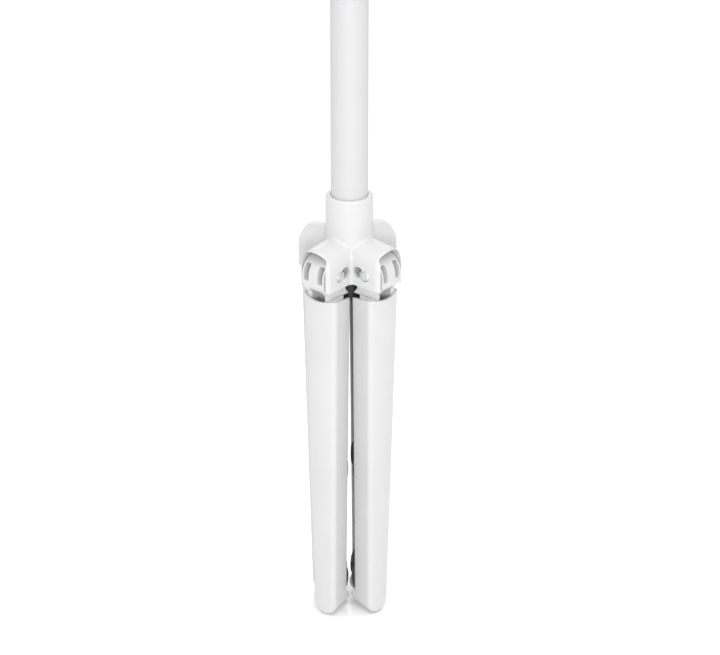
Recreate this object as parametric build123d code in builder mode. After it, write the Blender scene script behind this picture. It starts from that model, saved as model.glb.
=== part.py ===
"""Folding four-leg stand and lower mast of a free-standing rotary clothesline.

Millimetres, +Z up.  The origin is on the floor, on the mast axis, between the
folded legs.  A leg is drawn once, pointing down in the plane y = 0 on the +X
side, and each of the four copies is turned into its place about the mast axis.
Names ending in _Z without PIVOT are heights from the pivots, not from the floor.
"""
from build123d import *
from math import atan, cos, radians, sin, tan
import os

# ---------------------------------------------------------------- driving dimensions
LEGS = {"front_right": -45.0, "back_right": 45.0, "back_left": 135.0, "front_left": 225.0}
FORK_TURNS = (0.0, 90.0, 180.0, 270.0)
HUB_TURN = 45.0               # the forks lie on the diagonals

LEG_LENGTH = 373.014          # pivot to the tip of the roof
PIVOT_Z = 371.974             # pivots above the floor, legs folded
PIVOT_R = 33.8                # pivots to the mast axis
FIT_GAP = 0.05                # between pieces that are fitted together

MAST_R = 17.5
MAST_WALL = 1.2
MAST_TOP = 850.0              # from the floor
BUSH_BORE_R = 14.1            # takes the 28 mm tube of the turning head
BUSH_DEPTH = 58.0
BUSH_LIP_R = 20.0

HUB_HALF = 18.0               # half width of one fork
HUB_REACH = 51.0              # outer face of a fork to the mast axis
HUB_BOTTOM_Z = -12.0
ARCH_SPRING_Z = 9.0           # a fork is an arch, with straight sides up to here
ARCH_ROOT_Z = 34.5            # top of the arch near the axis and at the outer face
ARCH_END_Z = 26.2
FORK_ROOT = 9.0               # the forks meet this far past the mast axis
OPENING_HALF = 14.5           # opening between the two cheeks of a fork
OPENING_SPRING_Z = 17.0
OPENING_TOP_Z = 25.0
CORE_HALF = 15.5              # square post left between the four openings
FORK_EDGE_R = 5.0             # rounding of the outer edges of a fork
VALLEY_R = 3.0                # rounding between forks, and between forks and collar
COLLAR_R = 22.9
RIM_BEVEL = 2.2
COLLAR_TOP_R = 22.3
COLLAR_TOP_Z = 69.0
SOCKET_FLOOR_Z = 28.5         # the mast tube stands here
WINDOW_R = 5.5                # round window in each cheek beside the pin
WINDOW_X, WINDOW_Z = 26.4, 2.2

PIN_R = 3.0
PIN_CLEAR = 0.05
PIN_HEAD_R = 4.6
PIN_HEAD_T = 1.6
BOLT_R = 4.0
WASHER_T = 1.6
SCREW_HEAD_T = 1.6
COVER_T = 2.5
SKIRT_R = 12.4
SKIRT_END_Z = -36.0
COVER_SCREW_R = 1.6
COVER_SCREW_AT = 16.6

KNUCKLE_R = 18.0
KNUCKLE_HALF = 13.2
WAIST_IN, WAIST_Z = 21.0, -17.5     # the ears spread again below this
SPREAD_IN, SPREAD_OUT = 16.8, 44.0
SPREAD_END_Z = -22.8
BAND_OUT_Z = -9.0             # bottom of the round front between the ears
EAR_GAP_HALF = 8.0            # gap between the ears, below the round front
EAR_GAP_Z = -13.5
NECK_IN, NECK_OUT = 25.5, 33.0      # tongue inside the leg
NECK_END_Z = -62.0
TONGUE_START_Z = -22.0
LEG_TOP_X = 70.0              # beyond the roof of a leg, for cutting it to length
TIP_CLEAR = 9.0
EAR_END_Z = -40.0
BOSS_HALF = 4.0               # screw boss in the roof of the leg
BOSS_TOP_Z = -32.0
SLOT_NEAR, SLOT_FAR = 5.4, 11.4
SLOT_LOW_Z, SLOT_HIGH_Z = -4.5, 12.0
SLOT_FLOOR = 38.5
EAR_WINDOW_R = 4.8
LEG_SCREW_ZS = (-38.0, -54.0)
LEG_SCREW_R = 2.0
LEG_SCREW_HEAD_R = 3.8

SHELL_START_Z = -24.0         # end of the leg moulding nearest the hub
CREST_ROOT = 47.6             # crest of the roof to the mast axis, hub end and tip
CREST_TIP = 40.5
CROWN_R = 48.0                # roundness of the roof across the leg
PLAN_X = 48.0                 # plane in which the half widths are given
PLAN_HALF_ROOT = 21.4
PLAN_HALF_TIP = 15.5
DRAFT = 11.0                  # lean of the side walls, so that four legs nest
WALL = 2.4
EDGE_R = 5.0                  # roof edges
FORM_EDGE = 2.0               # the form of a leg ends this far from the mast axis
RIM_SIDE_Z = -21.5            # the hub end dips in an arc between the two sides
RIM_DIP_Z = -25.0
RIM_R = 50.0
HOLLOW_TOP_Z = -5.0
UNDER_ROOT = 17.4             # open edge of the channel to the mast axis
UNDER_TIP = 15.4
LIP_ZS = (-352.0, -357.0)     # at the very tip the walls are deeper
LIP_EDGE = 9.5
RIB_T = 1.8
RIB_SET_BACK = 3.0            # from the open edge of the channel
RIB_ZS = (-66.0, -96.0, -128.0, -160.0, -190.0, -244.0, -282.0, -312.0)
BUMPER_EDGE = ((12.2, -206.0), (11.4, -215.0), (11.8, -223.0), (14.0, -227.5), (18.0, -229.0))
BUMPER_TOP = (18.0, -203.0)
PAD_EDGE = ((14.5, -324.5), (9.5, -330.0), (7.8, -338.0), (8.4, -345.5), (10.8, -350.5))
BLOCK_BACK = 24.0             # rubber blocks reach this far into the channel

PLAN_CENTRE = LEG_LENGTH - PLAN_HALF_TIP + (PLAN_X - CREST_TIP) * tan(radians(DRAFT))
ACROSS = Plane(origin=(0, 0, PIVOT_Z), x_dir=(0, 1, 0), z_dir=(1, 0, 0))
os.makedirs("parts", exist_ok=True)


def save(solid, name):
    """Name one piece and write its STEP file."""
    solid.label = name
    export_step(solid, f"parts/{name}.step")


# ---------------------------------------------------------------- leg moulding
def under(z):
    """Distance of the channel's open edge from the mast axis at height z from the pivot."""
    share = (z - SHELL_START_Z) / (-LEG_LENGTH - SHELL_START_Z)
    return UNDER_ROOT + (UNDER_TIP - UNDER_ROOT) * share


def side_slab(points):
    """Thick slab parallel to the plane y = 0 through points given from the axis and the pivot."""
    with BuildPart() as slab:
        with BuildSketch(Plane.XZ.offset(-40)):
            with BuildLine():
                Polyline(*[(x, PIVOT_Z + z) for x, z in points], close=True)
            make_face()
        extrude(amount=80)
    return slab.part


def leg_form(inset, top):
    """Solid inside the roof, walls and tip of a leg, less inset, from height top to the tip."""
    end = -LEG_LENGTH - TIP_CLEAR
    half_root = PLAN_HALF_ROOT - inset
    half_tip = PLAN_HALF_TIP - inset
    lean = atan((half_root - half_tip) / (PLAN_CENTRE + SHELL_START_Z))
    meet_x = half_tip * cos(lean)
    meet_y = PLAN_CENTRE + half_tip * sin(lean)
    wide = meet_x + (meet_y + top) * tan(lean)
    roof_lean = atan((CREST_ROOT - CREST_TIP) / (LEG_LENGTH + SHELL_START_Z))
    axis_x = CREST_ROOT - CROWN_R + (top - SHELL_START_Z) * tan(roof_lean)
    with BuildPart() as form:
        plan = Plane(origin=(PLAN_X, 0, PIVOT_Z), x_dir=(0, 1, 0), z_dir=(-1, 0, 0))
        with BuildSketch(plan):
            with BuildLine():
                Polyline((meet_x, meet_y), (wide, -top), (-wide, -top), (-meet_x, meet_y))
                ThreePointArc((meet_x, meet_y), (0, PLAN_CENTRE + half_tip), (-meet_x, meet_y))
            make_face()
        extrude(amount=PLAN_X - FORM_EDGE, taper=DRAFT)
        crown = Plane(origin=(axis_x, 0, PIVOT_Z + top), x_dir=(0, 1, 0),
                      z_dir=(-sin(roof_lean), 0, -cos(roof_lean)))
        with BuildSketch(crown.offset(-10)):
            Circle(CROWN_R - inset)
        extrude(amount=LEG_LENGTH + 60, mode=Mode.INTERSECT)
        add(side_slab([(LEG_TOP_X, top), (0.0, top), (0.0, end), (LEG_TOP_X, end)]), mode=Mode.INTERSECT)
        roof = form.faces().filter_by(GeomType.CYLINDER).sort_by(SortBy.AREA)[-1]
        fillet([e for e in roof.edges() if e.center().Z < PIVOT_Z + top - 1.0], EDGE_R - inset)
    return form.part


# the space inside a leg, less the cross ribs and the screw boss that stay in it
with BuildPart() as leg_hollow:
    add(leg_form(WALL, HOLLOW_TOP_Z))
    for z in RIB_ZS:
        low, high, edge = z - RIB_T / 2, z + RIB_T / 2, under(z) + RIB_SET_BACK
        add(side_slab([(edge, low), (LEG_TOP_X, low), (LEG_TOP_X, high), (edge, high)]), mode=Mode.SUBTRACT)
    with BuildSketch(ACROSS.offset(NECK_OUT + FIT_GAP)):
        with Locations((0, (BOSS_TOP_Z + NECK_END_Z) / 2)):
            Rectangle(2 * BOSS_HALF, BOSS_TOP_Z - NECK_END_Z)
    extrude(amount=30, mode=Mode.SUBTRACT)

with BuildPart() as leg_shell:
    add(leg_form(0.0, RIM_SIDE_Z))
    add(side_slab([(LEG_TOP_X, RIM_SIDE_Z), (under(RIM_SIDE_Z), RIM_SIDE_Z), (under(LIP_ZS[0]), LIP_ZS[0]),
                   (LIP_EDGE, LIP_ZS[1]), (LIP_EDGE, -LEG_LENGTH - TIP_CLEAR),
                   (LEG_TOP_X, -LEG_LENGTH - TIP_CLEAR)]), mode=Mode.INTERSECT)
    with BuildSketch(ACROSS):
        with Locations((0, RIM_DIP_Z + RIM_R)):
            Circle(RIM_R)
    extrude(amount=70, mode=Mode.SUBTRACT)
    add(leg_hollow.part, mode=Mode.SUBTRACT)
    with BuildSketch(ACROSS.offset(NECK_IN)):
        with Locations(*[(0, z) for z in LEG_SCREW_ZS]):
            Circle(LEG_SCREW_R)
    extrude(amount=15.5, mode=Mode.SUBTRACT)

inner_form = leg_form(WALL + FIT_GAP, HOLLOW_TOP_Z)


def rubber_block(proud_edge, back_edge):
    """Rubber block wedged between the walls of the channel, standing out of it at proud_edge."""
    with BuildPart() as block:
        add(inner_form)
        add(side_slab([*proud_edge, *back_edge]), mode=Mode.INTERSECT)
    return block.part


foot_pad = rubber_block(PAD_EDGE, [(BLOCK_BACK, PAD_EDGE[-1][1]), (BLOCK_BACK, PAD_EDGE[0][1])])
leg_bumper = rubber_block(BUMPER_EDGE, [(BLOCK_BACK, BUMPER_EDGE[-1][1]), (BLOCK_BACK, BUMPER_TOP[1]),
                                        BUMPER_TOP])

# ---------------------------------------------------------------- knuckle of a leg
# the part of the knuckle that lies inside the leg moulding
with BuildPart() as tongue:
    add(inner_form)
    add(side_slab([(NECK_IN, TONGUE_START_Z), (SPREAD_OUT, TONGUE_START_Z), (SPREAD_OUT, EAR_END_Z),
                   (NECK_OUT, EAR_END_Z), (NECK_OUT, NECK_END_Z), (NECK_IN, NECK_END_Z)]), mode=Mode.INTERSECT)

with BuildPart() as hinge_knuckle:
    with BuildSketch(Plane.XZ):
        with Locations((PIVOT_R, PIVOT_Z)):
            Circle(KNUCKLE_R)
        with BuildLine():
            Polyline((WAIST_IN, PIVOT_Z), (PIVOT_R + KNUCKLE_R, PIVOT_Z),
                     (PIVOT_R + KNUCKLE_R, PIVOT_Z + BAND_OUT_Z), (SPREAD_OUT, PIVOT_Z + WAIST_Z - 1.5),
                     (SPREAD_OUT, PIVOT_Z + SPREAD_END_Z), (SPREAD_IN, PIVOT_Z + SPREAD_END_Z),
                     (WAIST_IN, PIVOT_Z + WAIST_Z), close=True)
        make_face()
    extrude(amount=KNUCKLE_HALF, both=True)
    add(tongue.part)
    with BuildSketch(ACROSS.offset(NECK_OUT)):
        with Locations((0, (EAR_GAP_Z + EAR_END_Z) / 2 - 1)):
            Rectangle(2 * EAR_GAP_HALF, EAR_GAP_Z - EAR_END_Z + 2)
    extrude(amount=30, mode=Mode.SUBTRACT)
    with BuildSketch(ACROSS.offset(SLOT_FLOOR)):
        for side in (-1, 1):
            with Locations((side * (SLOT_NEAR + SLOT_FAR) / 2, (SLOT_LOW_Z + SLOT_HIGH_Z) / 2)):
                RectangleRounded(SLOT_FAR - SLOT_NEAR, SLOT_HIGH_Z - SLOT_LOW_Z, 1.5)
    extrude(amount=30, mode=Mode.SUBTRACT)
    for side in (-1, 1):
        with BuildSketch(Plane.XZ.offset(side * SLOT_NEAR)):
            with Locations((WINDOW_X - 0.8, PIVOT_Z + WINDOW_Z)):
                Circle(EAR_WINDOW_R)
        extrude(amount=side * 12, mode=Mode.SUBTRACT)
    with BuildSketch(Plane.XZ):
        with Locations((PIVOT_R, PIVOT_Z)):
            Circle(PIN_R + PIN_CLEAR)
    extrude(amount=30, both=True, mode=Mode.SUBTRACT)
    with BuildSketch(ACROSS.offset(NECK_IN - 1)):
        with Locations(*[(0, z) for z in LEG_SCREW_ZS]):
            Circle(LEG_SCREW_R)
    extrude(amount=14, mode=Mode.SUBTRACT)
    with BuildSketch(ACROSS.offset(NECK_IN - 1)):
        with Locations(*[(0, z) for z in LEG_SCREW_ZS]):
            Circle(LEG_SCREW_HEAD_R + 0.1)
    extrude(amount=3.6, mode=Mode.SUBTRACT)

# driven from the underside of the leg, heads sunk in the neck
with BuildPart() as leg_screws:
    with BuildSketch(ACROSS.offset(NECK_IN + 0.2)):
        with Locations(*[(0, z) for z in LEG_SCREW_ZS]):
            Circle(LEG_SCREW_HEAD_R)
    extrude(amount=2.4)
    with BuildSketch(ACROSS.offset(NECK_IN + 2.4)):
        with Locations(*[(0, z) for z in LEG_SCREW_ZS]):
            Circle(LEG_SCREW_R)
    extrude(amount=12.6)
    with BuildSketch(ACROSS.offset(NECK_IN + 0.2)):
        with Locations(*[(0, z) for z in LEG_SCREW_ZS]):
            Rectangle(3.6, 0.9)
            Rectangle(0.9, 3.6)
    extrude(amount=1.4, mode=Mode.SUBTRACT)

# ---------------------------------------------------------------- pins and washers of one fork
with BuildPart() as pivot_pin:
    with BuildSketch(Plane.XZ.offset(HUB_HALF - PIN_HEAD_T)):
        with Locations((PIVOT_R, PIVOT_Z)):
            Circle(PIN_HEAD_R)
    extrude(amount=PIN_HEAD_T)
    chamfer(pivot_pin.faces().sort_by(Axis.Y)[0].edges(), 0.4)
    with BuildSketch(Plane.XZ.offset(HUB_HALF - PIN_HEAD_T)):
        with Locations((PIVOT_R, PIVOT_Z)):
            Circle(PIN_R)
    extrude(amount=-(2 * HUB_HALF - PIN_HEAD_T - 0.3))
    chamfer(pivot_pin.faces().sort_by(Axis.Y)[-1].edges(), 0.4)

with BuildPart() as pin_clip:
    with BuildSketch(Plane.XZ.offset(-(HUB_HALF - PIN_HEAD_T))):
        with Locations((PIVOT_R, PIVOT_Z)):
            Circle(PIN_HEAD_R)
            Circle(PIN_R, mode=Mode.SUBTRACT)
    extrude(amount=-0.9)

with BuildPart() as fork_washers:
    for side in (-1, 1):
        with BuildSketch(Plane.XZ.offset(side * (OPENING_HALF - 0.6))):
            with Locations((PIVOT_R, PIVOT_Z)):
                Circle(7.0)
                Circle(PIN_R, mode=Mode.SUBTRACT)
        extrude(amount=side * 0.6)

# ---------------------------------------------------------------- hub
with BuildPart() as fork:
    for reach, top in ((-FORK_ROOT, ARCH_ROOT_Z), (HUB_REACH, ARCH_END_Z)):
        with BuildSketch(ACROSS.offset(reach)):
            with BuildLine():
                Polyline((HUB_HALF, ARCH_SPRING_Z), (HUB_HALF, HUB_BOTTOM_Z),
                         (-HUB_HALF, HUB_BOTTOM_Z), (-HUB_HALF, ARCH_SPRING_Z))
                EllipticalCenterArc((0, ARCH_SPRING_Z), HUB_HALF, top - ARCH_SPRING_Z,
                                    start_angle=0, arc_size=180)
            make_face()
    loft(ruled=True)

with BuildPart() as fork_opening:
    with BuildSketch(ACROSS.offset(CORE_HALF)):
        with BuildLine():
            Polyline((OPENING_HALF, OPENING_SPRING_Z), (OPENING_HALF, HUB_BOTTOM_Z - 1),
                     (-OPENING_HALF, HUB_BOTTOM_Z - 1), (-OPENING_HALF, OPENING_SPRING_Z))
            EllipticalCenterArc((0, OPENING_SPRING_Z), OPENING_HALF, OPENING_TOP_Z - OPENING_SPRING_Z,
                                start_angle=0, arc_size=180)
        make_face()
    extrude(amount=HUB_REACH)
    with BuildSketch(Plane.XZ):
        with Locations((PIVOT_R, PIVOT_Z)):
            Circle(PIN_R)
    extrude(amount=HUB_HALF + 1, both=True)
    with BuildSketch(Plane.XZ):
        with Locations((WINDOW_X, PIVOT_Z + WINDOW_Z)):
            Circle(WINDOW_R)
        with Locations((PIVOT_R, PIVOT_Z)):
            Circle(PIN_HEAD_R + 1.2, mode=Mode.SUBTRACT)
    extrude(amount=HUB_HALF + 1, both=True)
    for side in (-1, 1):
        with BuildSketch(Plane.XZ.offset(side * (HUB_HALF - PIN_HEAD_T))):
            with Locations((PIVOT_R, PIVOT_Z)):
                Circle(PIN_HEAD_R + 0.6)
        extrude(amount=side * 4)


def from_axis(edge):
    """Distance of the middle of an edge from the mast axis."""
    middle = edge @ 0.5
    return (middle.X ** 2 + middle.Y ** 2) ** 0.5


with BuildPart() as hub_body:
    for turn in FORK_TURNS:
        add(fork.part, rotation=(0, 0, turn))
    with BuildSketch(Plane.XZ):
        with BuildLine():
            Polyline((0, PIVOT_Z + 5), (COLLAR_R, PIVOT_Z + 5),
                     (COLLAR_TOP_R, PIVOT_Z + COLLAR_TOP_Z - RIM_BEVEL),
                     (COLLAR_TOP_R - RIM_BEVEL, PIVOT_Z + COLLAR_TOP_Z),
                     (0, PIVOT_Z + COLLAR_TOP_Z), close=True)
        make_face()
    revolve(axis=Axis.Z)
    crooked = hub_body.edges().filter_by(GeomType.BSPLINE)
    valleys = [e for e in hub_body.edges() if abs(from_axis(e) - HUB_HALF * 2 ** 0.5) < 0.1]
    shoulders = [e for e in crooked if 24.0 < from_axis(e) < 25.3]
    roots = [e for e in crooked if COLLAR_TOP_R < from_axis(e) < COLLAR_R]
    fillet(valleys + shoulders + roots, VALLEY_R)
    fronts = [e for e in hub_body.edges() if from_axis(e) > HUB_REACH - 0.01]
    fillet([e for e in fronts if (e @ 0.5).Z > PIVOT_Z + HUB_BOTTOM_Z + 1], FORK_EDGE_R)
    for turn in FORK_TURNS:
        add(fork_opening.part, rotation=(0, 0, turn), mode=Mode.SUBTRACT)
    with BuildSketch(Plane.XY.offset(PIVOT_Z + SOCKET_FLOOR_Z)):
        Circle(MAST_R)
    extrude(amount=60, mode=Mode.SUBTRACT)
    with BuildSketch(Plane.XY.offset(PIVOT_Z + COLLAR_TOP_Z - 2.5)):
        Circle(MAST_R + 0.3)
    extrude(amount=10, mode=Mode.SUBTRACT)
    with BuildSketch(Plane.XY.offset(PIVOT_Z + HUB_BOTTOM_Z - 1)):
        Circle(BOLT_R + 0.3)
    extrude(amount=60, mode=Mode.SUBTRACT)
    with BuildSketch(Plane.XY.offset(PIVOT_Z + HUB_BOTTOM_Z - 1)):
        with PolarLocations(COVER_SCREW_AT, 4, start_angle=45):
            Circle(COVER_SCREW_R)
    extrude(amount=12, mode=Mode.SUBTRACT)

# closes the hub from below, with a skirt round the head of the mast bolt
with BuildPart() as hub_cover:
    with BuildSketch(Plane.XY.offset(PIVOT_Z + HUB_BOTTOM_Z - COVER_T)):
        RectangleRounded(2 * CORE_HALF - 1.0, 2 * CORE_HALF - 1.0, 2.5)
    extrude(amount=COVER_T)
    with BuildSketch(Plane.XY.offset(PIVOT_Z + SKIRT_END_Z)):
        Circle(SKIRT_R)
    extrude(amount=HUB_BOTTOM_Z - COVER_T - SKIRT_END_Z)
    with BuildSketch(Plane.XY.offset(PIVOT_Z + SKIRT_END_Z - 1)):
        Circle(SKIRT_R - 2.0)
    extrude(amount=HUB_BOTTOM_Z - COVER_T - SKIRT_END_Z + 1, mode=Mode.SUBTRACT)
    with BuildSketch(Plane.XY.offset(PIVOT_Z + HUB_BOTTOM_Z - COVER_T)):
        Circle(BOLT_R + 0.3)
        with PolarLocations(COVER_SCREW_AT, 4, start_angle=45):
            Circle(COVER_SCREW_R)
    extrude(amount=COVER_T, mode=Mode.SUBTRACT)

with BuildPart() as cover_screws:
    with BuildSketch(Plane.XY.offset(PIVOT_Z + HUB_BOTTOM_Z - COVER_T - SCREW_HEAD_T)):
        with PolarLocations(COVER_SCREW_AT, 4, start_angle=45):
            Circle(2.4)
    extrude(amount=SCREW_HEAD_T)
    with BuildSketch(Plane.XY.offset(PIVOT_Z + HUB_BOTTOM_Z - COVER_T)):
        with PolarLocations(COVER_SCREW_AT, 4, start_angle=45):
            Circle(COVER_SCREW_R)
    extrude(amount=12.0)
    with BuildSketch(Plane.XY.offset(PIVOT_Z + HUB_BOTTOM_Z - COVER_T - SCREW_HEAD_T)):
        with PolarLocations(COVER_SCREW_AT, 4, start_angle=45):
            Rectangle(2.6, 0.7)
            Rectangle(0.7, 2.6)
    extrude(amount=0.9, mode=Mode.SUBTRACT)

# ---------------------------------------------------------------- mast and the bolt that holds it
with BuildPart() as mast_tube:
    with BuildSketch(Plane.XY.offset(PIVOT_Z + SOCKET_FLOOR_Z)):
        Circle(MAST_R)
        Circle(MAST_R - MAST_WALL, mode=Mode.SUBTRACT)
    extrude(amount=MAST_TOP - PIVOT_Z - SOCKET_FLOOR_Z)

with BuildPart() as mast_foot_plug:
    with BuildSketch(Plane.XY.offset(PIVOT_Z + SOCKET_FLOOR_Z)):
        Circle(MAST_R - MAST_WALL)
        Circle(BOLT_R, mode=Mode.SUBTRACT)
    extrude(amount=26.0)
    chamfer(mast_foot_plug.faces().sort_by(Axis.Z)[-1].edges().sort_by(SortBy.LENGTH)[-1], 1.5)

cover_face = HUB_BOTTOM_Z - COVER_T
with BuildPart() as bolt_washer:
    with BuildSketch(Plane.XY.offset(PIVOT_Z + cover_face - WASHER_T)):
        Circle(8.0)
        Circle(BOLT_R, mode=Mode.SUBTRACT)
    extrude(amount=WASHER_T)

with BuildPart() as mast_bolt:
    with BuildSketch(Plane.XY.offset(PIVOT_Z + cover_face - WASHER_T)):
        RegularPolygon(7.4, 6)
    extrude(amount=-5.3)
    chamfer(mast_bolt.faces().sort_by(Axis.Z)[0].edges(), 0.6)
    with BuildSketch(Plane.XY.offset(PIVOT_Z + cover_face - WASHER_T)):
        Circle(BOLT_R)
    extrude(amount=66.0)
    chamfer(mast_bolt.faces().sort_by(Axis.Z)[-1].edges(), 0.8)

with BuildPart() as mast_bush:
    with BuildSketch(Plane.XY.offset(MAST_TOP - BUSH_DEPTH)):
        Circle(MAST_R - MAST_WALL)
    extrude(amount=BUSH_DEPTH)
    with BuildSketch(Plane.XY.offset(MAST_TOP)):
        Circle(BUSH_LIP_R)
    extrude(amount=6.0)
    lip_rim = mast_bush.edges().filter_by(GeomType.CIRCLE).group_by(Axis.Z)[-1]
    fillet(lip_rim, 1.5)
    with BuildSketch(Plane.XY.offset(MAST_TOP - BUSH_DEPTH + 3.0)):
        Circle(BUSH_BORE_R)
    extrude(amount=BUSH_DEPTH + 10, mode=Mode.SUBTRACT)
    with BuildSketch(Plane.XY.offset(MAST_TOP - BUSH_DEPTH - 1)):
        Circle(4.0)
    extrude(amount=10, mode=Mode.SUBTRACT)

# ---------------------------------------------------------------- every piece in its place
save(mast_tube.part, "mast_tube")
save(mast_bush.part, "mast_bush")
save(mast_foot_plug.part, "mast_foot_plug")
save(mast_bolt.part, "mast_bolt")
save(bolt_washer.part, "mast_bolt_washer")
save(Rot(0, 0, HUB_TURN) * hub_body.part, "hub_body")
save(Rot(0, 0, HUB_TURN) * hub_cover.part, "hub_cover")
save(Rot(0, 0, HUB_TURN) * cover_screws.part, "hub_cover_screws")
save(Compound([Rot(0, 0, angle) * pin_clip.part for angle in LEGS.values()]), "pin_clips")

for place, angle in LEGS.items():
    turned = Rot(0, 0, angle)
    save(turned * pivot_pin.part, f"pivot_pin_{place}")
    save(turned * fork_washers.part, f"pivot_washers_{place}")
    save(turned * hinge_knuckle.part, f"leg_knuckle_{place}")
    save(turned * leg_shell.part, f"leg_shell_{place}")
    save(turned * leg_screws.part, f"leg_screws_{place}")
    save(turned * leg_bumper, f"leg_bumper_{place}")
    save(turned * foot_pad, f"foot_pad_{place}")
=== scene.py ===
"""Looks for the folding stand of a rotary clothesline: finishes, edges, studio and camera."""
from math import cos, radians, sin

import bpy
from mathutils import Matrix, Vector

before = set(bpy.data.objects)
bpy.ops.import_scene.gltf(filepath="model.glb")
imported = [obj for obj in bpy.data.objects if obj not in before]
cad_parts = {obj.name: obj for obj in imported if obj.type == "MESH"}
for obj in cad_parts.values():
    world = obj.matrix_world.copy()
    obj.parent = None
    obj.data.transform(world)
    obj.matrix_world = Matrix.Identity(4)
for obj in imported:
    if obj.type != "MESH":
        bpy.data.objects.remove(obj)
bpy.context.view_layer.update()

bl_info = {
    "name": "Clothesline Stand Looks",
    "version": (1, 0, 0),
    "blender": (4, 5, 0),
    "location": "3D View > Sidebar > Stand",
    "description": "Finishes, studio and camera for the folding stand of a rotary clothesline",
    "category": "3D View",
}

LEG_PLACES = ("front_left", "front_right", "back_left", "back_right")
BUSH_ROUGHNESS, BUSH_GRAIN = 0.45, 0.0008
COVER_ROUGHNESS = 0.5
SENSOR_WIDTH = 36.0           # millimetres
SHIFT_X, SHIFT_Y = 0.0147, 0.0015
FAR_CLIP = 100.0
# name, place, width, the setting that holds its power, and its share of that power
LAMPS = (
    ("softbox_left", (-1.6, -0.5, 1.1), 1.2, "softbox", 1.0),
    ("softbox_right", (1.7, -0.3, 1.2), 1.2, "softbox", 0.9),
    ("softbox_overhead", (0.1, -0.5, 2.3), 1.4, "overhead", 1.0),
    ("fill_front", (-0.1, -2.3, 0.75), 0.6, "fill", 1.0),
    ("softbox_back", (0.1, 2.2, 1.3), 1.2, "back", 1.0),
)


# ---------------------------------------------------------------- settings
class STAND_PG_moulding(bpy.types.PropertyGroup):
    """White plastic of the hub, the knuckles and the leg mouldings."""
    colour: bpy.props.FloatVectorProperty(
        name="Colour", description="White of the moulded plastic", subtype="COLOR", size=3,
        min=0.0, max=1.0, default=(0.59, 0.59, 0.593))
    # cover: near-black painted shade for the cover in the shadowed hollow under the hub
    cover: bpy.props.FloatVectorProperty(
        name="Cover colour", description="Dark plastic of the cover under the hub", subtype="COLOR", size=3,
        min=0.0, max=1.0, default=(0.05, 0.05, 0.055))
    roughness: bpy.props.FloatProperty(
        name="Roughness", description="Average roughness of the moulded skin", subtype="FACTOR",
        min=0.0, max=1.0, default=0.34)
    grain: bpy.props.FloatProperty(
        name="Grain size", description="Size of one grain of the tool's texture", unit="LENGTH",
        min=0.0001, max=0.01, default=0.0006)


class STAND_PG_mast(bpy.types.PropertyGroup):
    """Powder coat of the mast tube."""
    colour: bpy.props.FloatVectorProperty(
        name="Colour", description="White of the powder coat", subtype="COLOR", size=3,
        min=0.0, max=1.0, default=(0.54, 0.537, 0.544))
    roughness: bpy.props.FloatProperty(
        name="Roughness", description="Average roughness of the coat", subtype="FACTOR",
        min=0.0, max=1.0, default=0.42)
    peel: bpy.props.FloatProperty(
        name="Orange peel", description="Size of the ripples in the coat", unit="LENGTH",
        min=0.0002, max=0.01, default=0.0009)


class STAND_PG_hardware(bpy.types.PropertyGroup):
    """Metal, rubber and grey plastic of the small pieces."""
    steel: bpy.props.FloatVectorProperty(
        name="Steel", description="Colour of the zinc plated steel", subtype="COLOR", size=3,
        min=0.0, max=1.0, default=(0.80, 0.81, 0.82))
    rubber: bpy.props.FloatVectorProperty(
        name="Rubber", description="Colour of the soles", subtype="COLOR", size=3,
        min=0.0, max=1.0, default=(0.060, 0.058, 0.066))
    bush: bpy.props.FloatVectorProperty(
        name="Bush", description="Colour of the bush and the plug", subtype="COLOR", size=3,
        min=0.0, max=1.0, default=(0.55, 0.56, 0.57))


class STAND_PG_studio(bpy.types.PropertyGroup):
    """Floor, light and camera."""
    floor_size: bpy.props.FloatProperty(
        name="Floor", description="Width of the floor", unit="LENGTH", min=1.0, max=100.0, default=40.0)
    floor_colour: bpy.props.FloatVectorProperty(
        name="Floor colour", description="Pale floor", subtype="COLOR", size=3,
        min=0.0, max=1.0, default=(0.95, 0.95, 0.95))
    sky: bpy.props.FloatProperty(
        name="Surround", description="Brightness of the white surround", min=0.0, max=5.0, default=1.0)
    softbox: bpy.props.FloatProperty(
        name="Softboxes", description="Power of each side softbox", unit="POWER",
        min=0.0, max=2000.0, default=1.0)
    overhead: bpy.props.FloatProperty(
        name="Overhead", description="Power of the softbox above the mast", unit="POWER",
        min=0.0, max=2000.0, default=12.0)
    fill: bpy.props.FloatProperty(
        name="Fill", description="Power of the fill light beside the camera", unit="POWER",
        min=0.0, max=2000.0, default=22.0)
    back: bpy.props.FloatProperty(
        name="Back", description="Power of the softbox behind the stand", unit="POWER",
        min=0.0, max=2000.0, default=6.0)
    elevation: bpy.props.FloatProperty(
        name="Elevation", description="Camera height angle", subtype="ANGLE", default=radians(26.1))
    azimuth: bpy.props.FloatProperty(
        name="Azimuth", description="Camera turn about the mast", subtype="ANGLE", default=radians(4.14))
    distance: bpy.props.FloatProperty(
        name="Distance", description="Camera to the aim point", unit="LENGTH", min=0.1, max=50.0,
        default=2.466)
    aim_height: bpy.props.FloatProperty(
        name="Aim height", description="Height of the aim point on the mast axis", unit="LENGTH",
        min=0.0, max=2.0, default=0.301)
    lens: bpy.props.FloatProperty(
        name="Lens", description="Focal length in millimetres on a 36 mm sensor",
        min=10.0, max=500.0, default=129.4)


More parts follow.
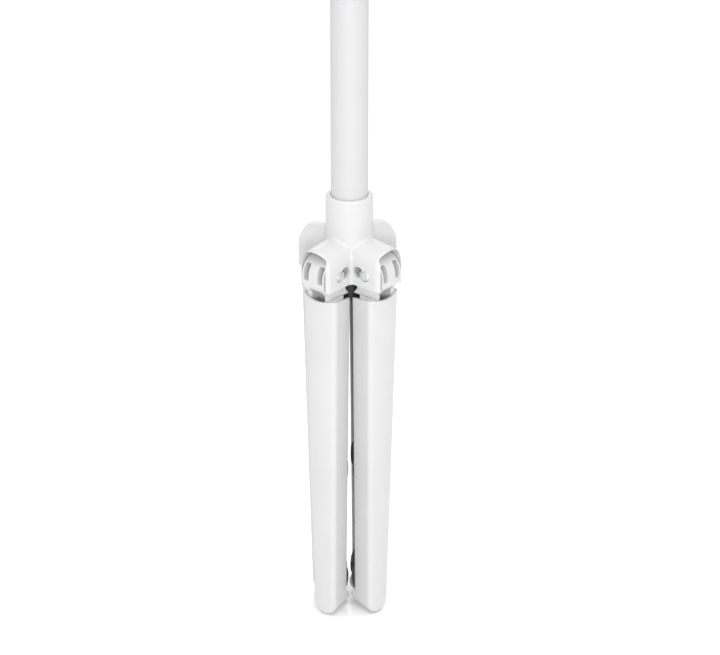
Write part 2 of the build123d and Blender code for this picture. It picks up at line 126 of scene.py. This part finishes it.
# ---------------------------------------------------------------- node helpers
class Graph:
    """Short way to write a material's nodes."""

    def __init__(self, name):
        self.material = bpy.data.materials.new(name)
        self.material.use_nodes = True
        self.tree = self.material.node_tree
        self.tree.nodes.clear()
        self.output = self.tree.nodes.new("ShaderNodeOutputMaterial")
        self.shader = self.tree.nodes.new("ShaderNodeBsdfPrincipled")
        self.link(self.shader.outputs["BSDF"], self.output.inputs["Surface"])
        self.place = self.tree.nodes.new("ShaderNodeTexCoord").outputs["Object"]

    def link(self, source, target):
        self.tree.links.new(source, target)

    def set(self, **values):
        for key, value in values.items():
            self.shader.inputs[key.replace("_", " ")].default_value = value

    def stretched(self, scale):
        node = self.tree.nodes.new("ShaderNodeMapping")
        node.inputs["Scale"].default_value = scale
        self.link(self.place, node.inputs["Vector"])
        return node.outputs["Vector"]

    def noise(self, scale, detail=2.0, rough=0.5, place=None):
        node = self.tree.nodes.new("ShaderNodeTexNoise")
        node.inputs["Scale"].default_value = scale
        node.inputs["Detail"].default_value = detail
        node.inputs["Roughness"].default_value = rough
        self.link(place or self.place, node.inputs["Vector"])
        return node.outputs["Fac"]

    def cells(self, scale):
        node = self.tree.nodes.new("ShaderNodeTexVoronoi")
        node.inputs["Scale"].default_value = scale
        self.link(self.place, node.inputs["Vector"])
        return node.outputs["Distance"]

    def spread(self, value, low, high, start=0.3, end=0.7):
        node = self.tree.nodes.new("ShaderNodeMapRange")
        node.inputs["From Min"].default_value = start
        node.inputs["From Max"].default_value = end
        node.inputs["To Min"].default_value = low
        node.inputs["To Max"].default_value = high
        self.link(value, node.inputs["Value"])
        return node.outputs["Result"]

    def blend(self, factor, first, second):
        node = self.tree.nodes.new("ShaderNodeMix")
        node.data_type = "RGBA"
        self.link(factor, node.inputs["Factor"])
        for socket, value in ((node.inputs["A"], first), (node.inputs["B"], second)):
            if isinstance(value, tuple):
                socket.default_value = value
            else:
                self.link(value, socket)
        return node.outputs["Result"]

    def corners(self, distance):
        node = self.tree.nodes.new("ShaderNodeAmbientOcclusion")
        node.inputs["Distance"].default_value = distance
        node.samples = 8
        return node.outputs["AO"]

    def bump(self, height, distance, strength=1.0, under=None):
        node = self.tree.nodes.new("ShaderNodeBump")
        node.inputs["Distance"].default_value = distance
        node.inputs["Strength"].default_value = strength
        self.link(height, node.inputs["Height"])
        if under:
            self.link(under, node.inputs["Normal"])
        return node.outputs["Normal"]


def rgba(colour, factor=1.0):
    return tuple(min(1.0, channel * factor) for channel in colour) + (1.0,)


def moulding_material(name, colour, roughness, grain):
    """Injection moulded plastic: fine tool grain, slow unevenness, painted shade darkening the corners."""
    graph = Graph(name)
    cloud = graph.noise(9.0, 4.0, 0.6)
    skin = graph.blend(graph.spread(cloud, 0.0, 1.0), rgba(colour, 0.975), rgba(colour, 1.02))
    # painted shade: ambient occlusion darkens the colour in corners, creases and gaps between parts
    corner_shade = graph.spread(graph.corners(0.004), 0.30, 0.0, 0.15, 0.75)
    graph.link(graph.blend(corner_shade, skin, rgba(colour, 0.72)), graph.shader.inputs["Base Color"])
    patches = graph.noise(60.0, 5.0, 0.6)
    graph.link(graph.spread(patches, roughness - 0.05, roughness + 0.07), graph.shader.inputs["Roughness"])
    waves = graph.bump(graph.noise(28.0, 1.0), 0.0003, 0.5)
    grains = graph.bump(graph.noise(1.0 / grain, 2.0), 0.00002, 0.7, waves)
    graph.link(grains, graph.shader.inputs["Normal"])
    graph.set(Subsurface_Weight=0.06, Subsurface_Radius=(1.0, 0.9, 0.8), Subsurface_Scale=0.002)
    graph.set(IOR=1.47)
    return graph.material


def powder_material(name, colour, roughness, peel):
    """Powder coat on steel: orange peel, slow change in gloss."""
    graph = Graph(name)
    cloud = graph.noise(7.0, 3.0)
    graph.link(graph.blend(graph.spread(cloud, 0.0, 1.0), rgba(colour, 0.992), rgba(colour, 1.006)),
               graph.shader.inputs["Base Color"])
    graph.link(graph.spread(graph.noise(40.0, 4.0), roughness - 0.015, roughness + 0.02),
               graph.shader.inputs["Roughness"])
    peeled = graph.bump(graph.noise(1.0 / peel, 1.0), 0.000006, 0.12)
    specks = graph.bump(graph.cells(2.4 / peel), 0.000003, 0.08, peeled)
    graph.link(specks, graph.shader.inputs["Normal"])
    graph.set(Coat_Weight=0.06, Coat_Roughness=0.35)
    return graph.material


def steel_material(name, colour):
    """Zinc plated steel with faint turning marks."""
    graph = Graph(name)
    cloud = graph.noise(180.0, 5.0, 0.65)
    graph.link(graph.blend(graph.spread(cloud, 0.0, 1.0), rgba(colour, 0.86), rgba(colour, 1.08)),
               graph.shader.inputs["Base Color"])
    graph.link(graph.spread(graph.noise(700.0, 3.0), 0.24, 0.42), graph.shader.inputs["Roughness"])
    marks = graph.noise(1.0, 3.0, 0.6, graph.stretched((300.0, 300.0, 4000.0)))
    graph.link(graph.bump(marks, 0.00002, 0.6), graph.shader.inputs["Normal"])
    graph.set(Metallic=1.0)
    return graph.material


def rubber_material(name, colour):
    """Dark rubber sole with a chalky bloom."""
    graph = Graph(name)
    bloom = graph.noise(120.0, 6.0, 0.7)
    graph.link(graph.blend(graph.spread(bloom, 0.0, 1.0), rgba(colour, 0.8), rgba(colour, 1.7)),
               graph.shader.inputs["Base Color"])
    graph.link(graph.spread(bloom, 0.62, 0.86), graph.shader.inputs["Roughness"])
    pits = graph.bump(graph.noise(2200.0, 2.0), 0.00005, 0.8)
    graph.link(pits, graph.shader.inputs["Normal"])
    return graph.material


# ---------------------------------------------------------------- pieces
def dress(node, material):
    """Give a CAD node its finish."""
    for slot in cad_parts[node].material_slots:
        slot.material = material


class STAND_OT_mouldings(bpy.types.Operator):
    """Finish the white mouldings: hub, knuckles and legs, and the cover under the hub in near-black painted
    shade.
    """
    bl_idname = "stand.mouldings"
    bl_label = "White mouldings"

    def execute(self, context):
        look = context.scene.stand_moulding
        white = moulding_material("white_moulding", look.colour, look.roughness, look.grain)
        dress("hub_body", white)
        # painted shade: the cover gets a near-black colour standing in for the deep shade inside the hub
        dress("hub_cover", moulding_material("cover_painted_shade", look.cover, COVER_ROUGHNESS, look.grain))
        for place in LEG_PLACES:
            dress(f"leg_shell_{place}", white)
            dress(f"leg_knuckle_{place}", white)
        return {"FINISHED"}


class STAND_OT_mast(bpy.types.Operator):
    """Finish the mast tube, its bush and its foot plug."""
    bl_idname = "stand.mast"
    bl_label = "Mast"

    def execute(self, context):
        look = context.scene.stand_mast
        dress("mast_tube", powder_material("mast_powder_coat", look.colour, look.roughness, look.peel))
        grey = context.scene.stand_hardware.bush
        bush = moulding_material("bush_plastic", grey, BUSH_ROUGHNESS, BUSH_GRAIN)
        for node in ("mast_bush", "mast_foot_plug"):
            dress(node, bush)
        return {"FINISHED"}


class STAND_OT_hardware(bpy.types.Operator):
    """Finish the pins, clips, washers, screws and the mast bolt."""
    bl_idname = "stand.hardware"
    bl_label = "Steel hardware"

    def execute(self, context):
        steel = steel_material("zinc_plated_steel", context.scene.stand_hardware.steel)
        for node in ("mast_bolt", "mast_bolt_washer", "hub_cover_screws", "pin_clips"):
            dress(node, steel)
        for place in LEG_PLACES:
            for kind in ("pivot_pin", "pivot_washers", "leg_screws"):
                dress(f"{kind}_{place}", steel)
        return {"FINISHED"}


class STAND_OT_soles(bpy.types.Operator):
    """Finish the rubber foot pads and the bumpers."""
    bl_idname = "stand.soles"
    bl_label = "Rubber soles"

    def execute(self, context):
        rubber = rubber_material("sole_rubber", context.scene.stand_hardware.rubber)
        for place in LEG_PLACES:
            dress(f"foot_pad_{place}", rubber)
            dress(f"leg_bumper_{place}", rubber)
        return {"FINISHED"}


class STAND_OT_studio(bpy.types.Operator):
    """Build the pale floor, the white surround, the softboxes and the camera."""
    bl_idname = "stand.studio"
    bl_label = "Studio"

    def execute(self, context):
        look = context.scene.stand_studio
        half = look.floor_size / 2
        mesh = bpy.data.meshes.new("studio_floor")
        mesh.from_pydata([(-half, -half, 0), (half, -half, 0), (half, half, 0), (-half, half, 0)], [],
                         [(0, 1, 2, 3)])
        floor = bpy.data.objects.new("studio_floor", mesh)
        context.scene.collection.objects.link(floor)
        graph = Graph("studio_floor")
        graph.link(graph.blend(graph.spread(graph.noise(0.8, 2.0), 0.0, 1.0),
                               rgba(look.floor_colour, 0.995), rgba(look.floor_colour, 1.005)),
                   graph.shader.inputs["Base Color"])
        graph.link(graph.spread(graph.noise(14.0, 3.0), 0.10, 0.13), graph.shader.inputs["Roughness"])
        mesh.materials.append(graph.material)

        world = bpy.data.worlds.new("studio_surround")
        world.use_nodes = True
        background = world.node_tree.nodes["Background"]
        background.inputs["Color"].default_value = (1.0, 1.0, 1.0, 1.0)
        background.inputs["Strength"].default_value = look.sky
        context.scene.world = world
        context.scene.view_settings.view_transform = "Standard"

        centre = Vector((0.0, 0.0, look.aim_height))
        for name, spot, size, setting, share in LAMPS:
            data = bpy.data.lights.new(name, "AREA")
            data.size = size
            data.energy = getattr(look, setting) * share
            lamp = bpy.data.objects.new(name, data)
            lamp.location = spot
            lamp.rotation_euler = (centre - lamp.location).to_track_quat("-Z", "Y").to_euler()
            context.scene.collection.objects.link(lamp)

        heading = Vector((sin(look.azimuth) * cos(look.elevation), cos(look.azimuth) * cos(look.elevation),
                          -sin(look.elevation)))
        data = bpy.data.cameras.new("camera")
        data.lens = look.lens
        data.sensor_width = SENSOR_WIDTH
        data.shift_x = SHIFT_X
        data.shift_y = SHIFT_Y
        data.clip_end = FAR_CLIP
        camera = bpy.data.objects.new("camera", data)
        camera.location = centre - heading * look.distance
        camera.rotation_euler = heading.to_track_quat("-Z", "Y").to_euler()
        context.scene.collection.objects.link(camera)
        context.scene.camera = camera
        return {"FINISHED"}


class STAND_PT_panel(bpy.types.Panel):
    """Steps of the stand's looks."""
    bl_idname = "STAND_PT_panel"
    bl_label = "Clothesline Stand"
    bl_space_type = "VIEW_3D"
    bl_region_type = "UI"
    bl_category = "Stand"

    def draw(self, context):
        for group in SETTINGS:
            box = self.layout.box()
            values = getattr(context.scene, group)
            for key in SETTINGS[group].__annotations__:
                box.prop(values, key)
        for step in STEPS:
            self.layout.operator(step.bl_idname)


SETTINGS = {
    "stand_moulding": STAND_PG_moulding,
    "stand_mast": STAND_PG_mast,
    "stand_hardware": STAND_PG_hardware,
    "stand_studio": STAND_PG_studio,
}
STEPS = (STAND_OT_mouldings, STAND_OT_mast, STAND_OT_hardware, STAND_OT_soles, STAND_OT_studio)
CLASSES = tuple(SETTINGS.values()) + STEPS + (STAND_PT_panel,)


def register():
    for cls in CLASSES:
        bpy.utils.register_class(cls)
    for name, group in SETTINGS.items():
        setattr(bpy.types.Scene, name, bpy.props.PointerProperty(type=group))


def unregister():
    for name in SETTINGS:
        delattr(bpy.types.Scene, name)
    for cls in reversed(CLASSES):
        bpy.utils.unregister_class(cls)


def main():
    register()
    for step in ("mouldings", "mast", "hardware", "soles", "studio"):
        getattr(bpy.ops.stand, step)()


if __name__ == "__main__":
    main()
